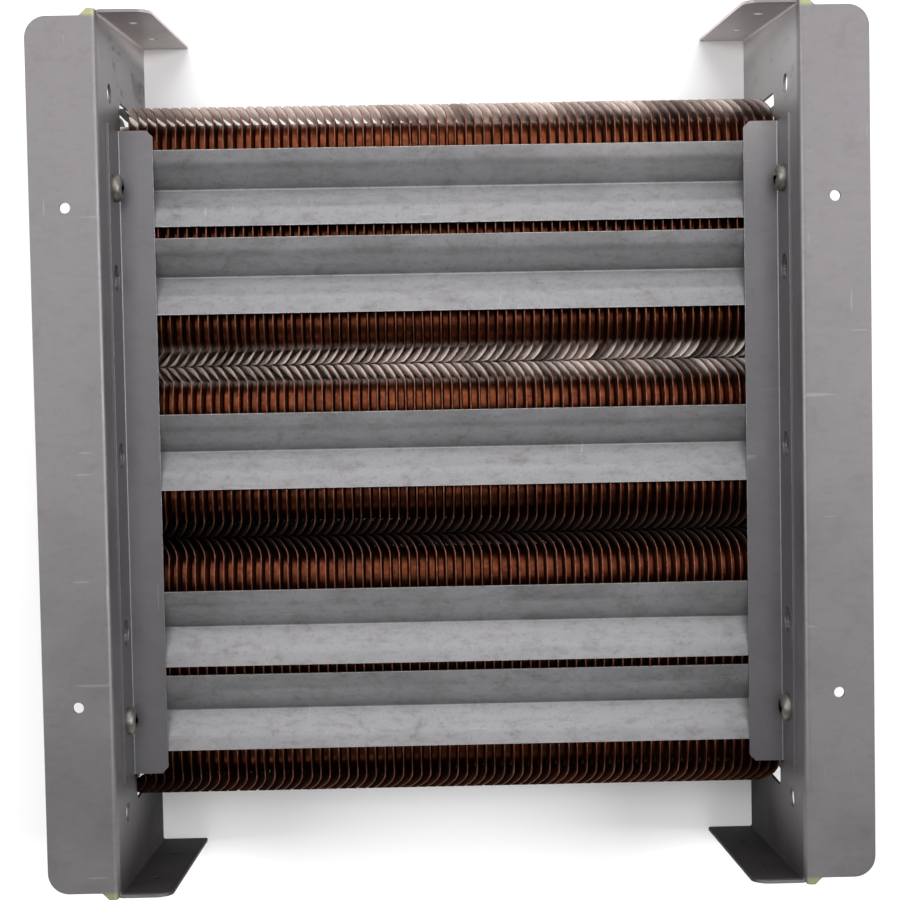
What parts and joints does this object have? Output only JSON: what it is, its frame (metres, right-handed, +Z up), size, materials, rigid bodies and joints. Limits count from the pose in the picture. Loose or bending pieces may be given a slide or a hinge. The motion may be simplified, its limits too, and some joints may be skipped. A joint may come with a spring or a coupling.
{
  "type": "pool heater heat exchanger core",
  "caption": "Finned copper tube heat exchanger core of a gas pool heater, held in two folded sheet brackets, with V-shaped flue baffles, their retainers and a tube sheet at each end.",
  "frame": {"origin": "middle of the level surface that the lower edges of the two brackets stand on", "axes": "+X along the tubes, +Y across the row of tubes, +Z up, the way the flue gas leaves"},
  "size_m": [0.3092, 0.3432, 0.102],
  "materials": {
    "bracket_sheet": "satin aluminised sheet, dull and smudged",
    "retainer_sheet": "satin aluminised sheet with bright cut edges",
    "baffle_sheet": "matte galvanised sheet with fine speckles",
    "screw_steel": "zinc plated, slightly yellowed",
    "tube_sheet_steel": "machined steel plate",
    "copper": "darkened copper with brighter edges"
  },
  "bodies": {
    "root": {"left_bracket": "bracket_sheet", "left_baffle_retainer": "retainer_sheet", "left_retainer_screws": "screw_steel", "left_tube_sheet": "tube_sheet_steel", "right_bracket": "bracket_sheet", "right_baffle_retainer": "retainer_sheet", "right_retainer_screws": "screw_steel", "right_tube_sheet": "tube_sheet_steel", "flue_baffle_1": "baffle_sheet", "flue_baffle_2": "baffle_sheet", "flue_baffle_3": "baffle_sheet", "flue_baffle_4": "baffle_sheet", "flue_baffle_5": "baffle_sheet", "finned_tube_1": "copper", "finned_tube_2": "copper", "finned_tube_3": "copper", "finned_tube_4": "copper", "finned_tube_5": "copper", "finned_tube_6": "copper", "finned_tube_7": "copper", "finned_tube_8": "copper"}
  },
  "joints": []
}
